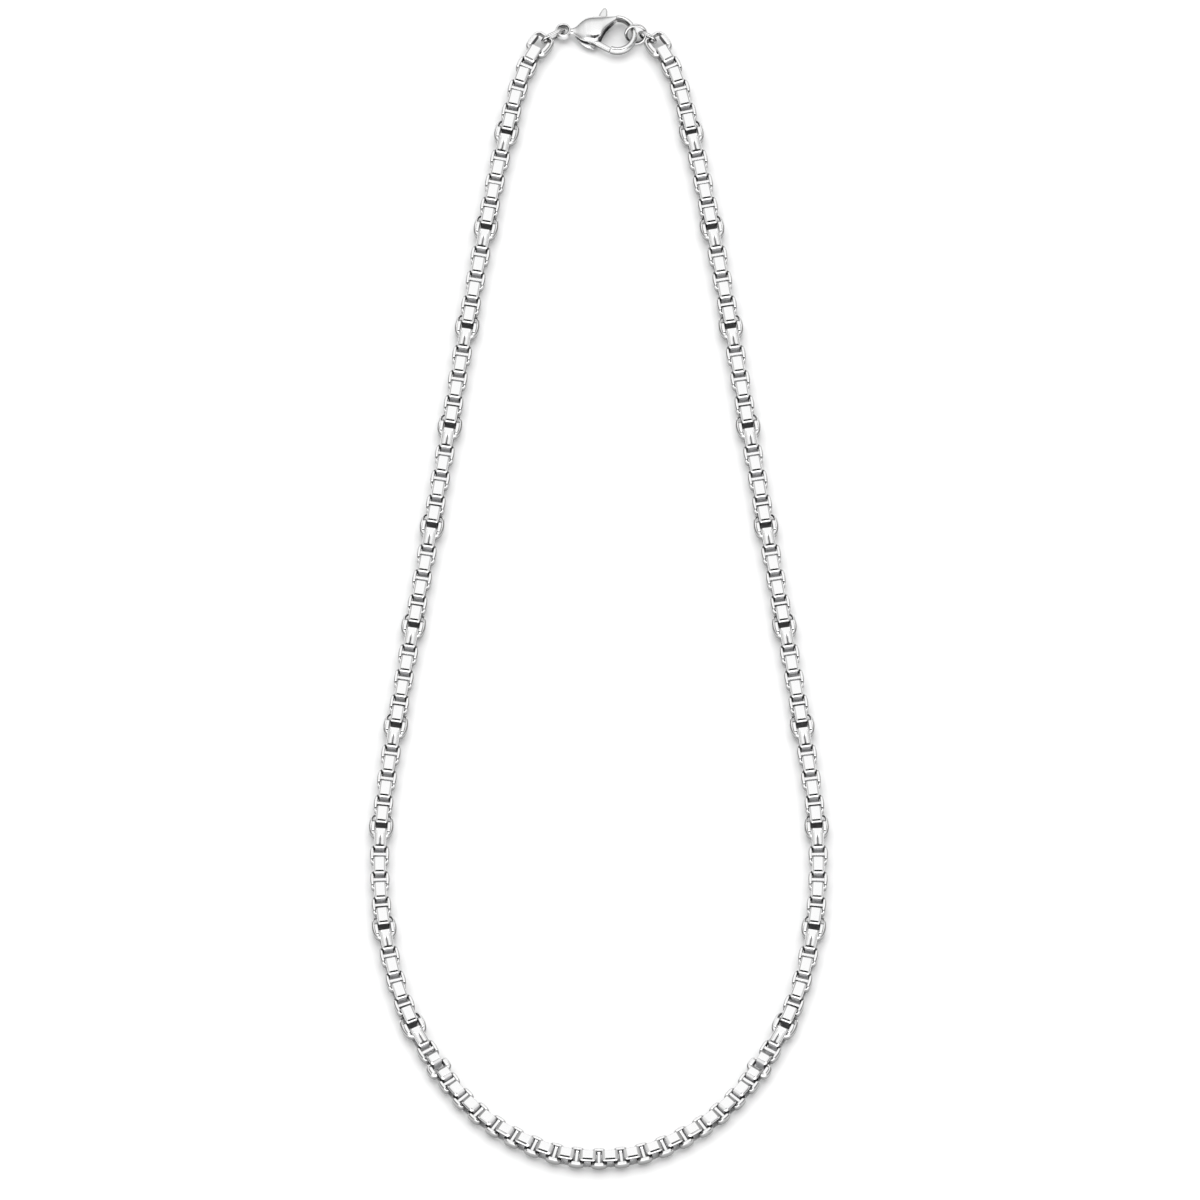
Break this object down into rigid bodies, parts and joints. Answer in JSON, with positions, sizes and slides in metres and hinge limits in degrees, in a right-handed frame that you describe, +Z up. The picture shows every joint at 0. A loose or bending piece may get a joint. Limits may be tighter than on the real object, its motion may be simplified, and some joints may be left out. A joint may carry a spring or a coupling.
{
  "type": "box chain necklace",
  "caption": "Polished box chain necklace lying in a long loop: flat-faced links alternate with bowed frame links, and a lobster clasp with a sprung lever closes it.",
  "frame": {"origin": "centre of the bounding box, on the surface that the necklace lies on", "axes": "+Y from the front of the loop to the clasp, +X towards the viewer's right, +Z up from the surface"},
  "size_m": [0.0818, 0.2276, 0.0035],
  "materials": {
    "chain": "polished",
    "clasp": "polished",
    "lever": "polished",
    "ring": "polished"
  },
  "bodies": {
    "necklace": {"chain_left": "chain", "chain_right": "chain", "clasp_body": "clasp", "left_jump_ring": "ring", "end_ring": "ring", "right_jump_ring": "ring"},
    "lever": {"clasp_lever": "lever"}
  },
  "joints": [
    {"name": "clasp_lever_hinge", "type": "hinge", "parent": "necklace", "child": "lever", "pos_m": [-0.0015, 0.10768, 0.00165], "axis": [0, 0, 1], "range_deg": [0, 25], "stiffness_Nm_per_rad": 0.002, "springref_deg": -11.46}
  ]
}
